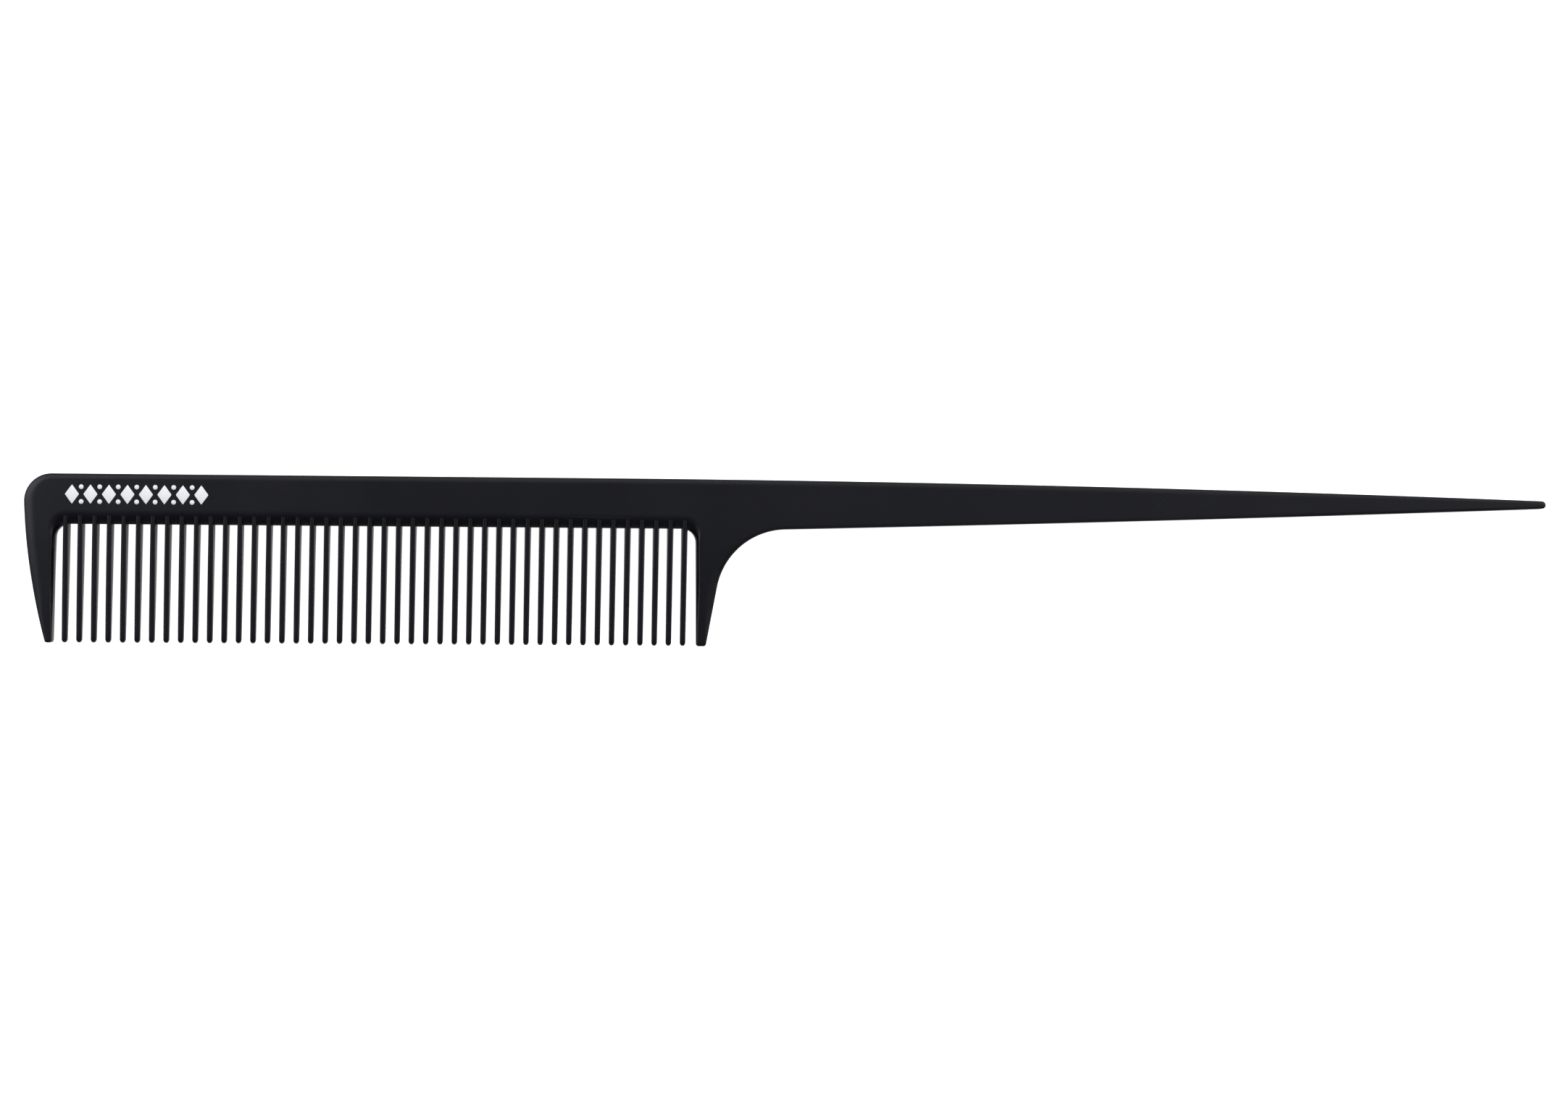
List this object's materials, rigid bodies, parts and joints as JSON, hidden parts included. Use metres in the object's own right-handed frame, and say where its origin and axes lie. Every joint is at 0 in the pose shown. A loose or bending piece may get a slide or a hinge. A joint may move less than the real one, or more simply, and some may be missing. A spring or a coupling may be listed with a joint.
{
  "type": "rat tail comb",
  "caption": "Flat one-piece styling comb with a row of fine teeth between two guard teeth and a long pointed tail for parting hair.",
  "frame": {"origin": "centre of the comb's length and height, on the plane of its back", "axes": "+X runs along the comb to the tip of the tail, +Y from the tips of the teeth to the spine, +Z out of the printed face"},
  "size_m": [0.23, 0.0252, 0.0034],
  "materials": {
    "moulding": "satin black moulded plastic, faintly blue, with a fine spark texture",
    "ink": "opaque white pad-printed ink"
  },
  "bodies": {
    "root": {"spine": "moulding", "front_guard": "moulding", "rear_guard": "moulding", "neck": "moulding", "tail": "moulding", "tail_tip": "moulding", "tooth_01": "moulding", "tooth_02": "moulding", "tooth_03": "moulding", "tooth_04": "moulding", "tooth_05": "moulding", "tooth_06": "moulding", "tooth_07": "moulding", "tooth_08": "moulding", "tooth_09": "moulding", "tooth_10": "moulding", "tooth_11": "moulding", "tooth_12": "moulding", "tooth_13": "moulding", "tooth_14": "moulding", "tooth_15": "moulding", "tooth_16": "moulding", "tooth_17": "moulding", "tooth_18": "moulding", "tooth_19": "moulding", "tooth_20": "moulding", "tooth_21": "moulding", "tooth_22": "moulding", "tooth_23": "moulding", "tooth_24": "moulding", "tooth_25": "moulding", "tooth_26": "moulding", "tooth_27": "moulding", "tooth_28": "moulding", "tooth_29": "moulding", "tooth_30": "moulding", "tooth_31": "moulding", "tooth_32": "moulding", "tooth_33": "moulding", "tooth_34": "moulding", "tooth_35": "moulding", "tooth_36": "moulding", "tooth_37": "moulding", "tooth_38": "moulding", "tooth_39": "moulding", "tooth_40": "moulding", "tooth_41": "moulding", "tooth_42": "moulding", "tooth_43": "moulding", "tooth_44": "moulding", "printed_band": "ink"}
  },
  "joints": []
}
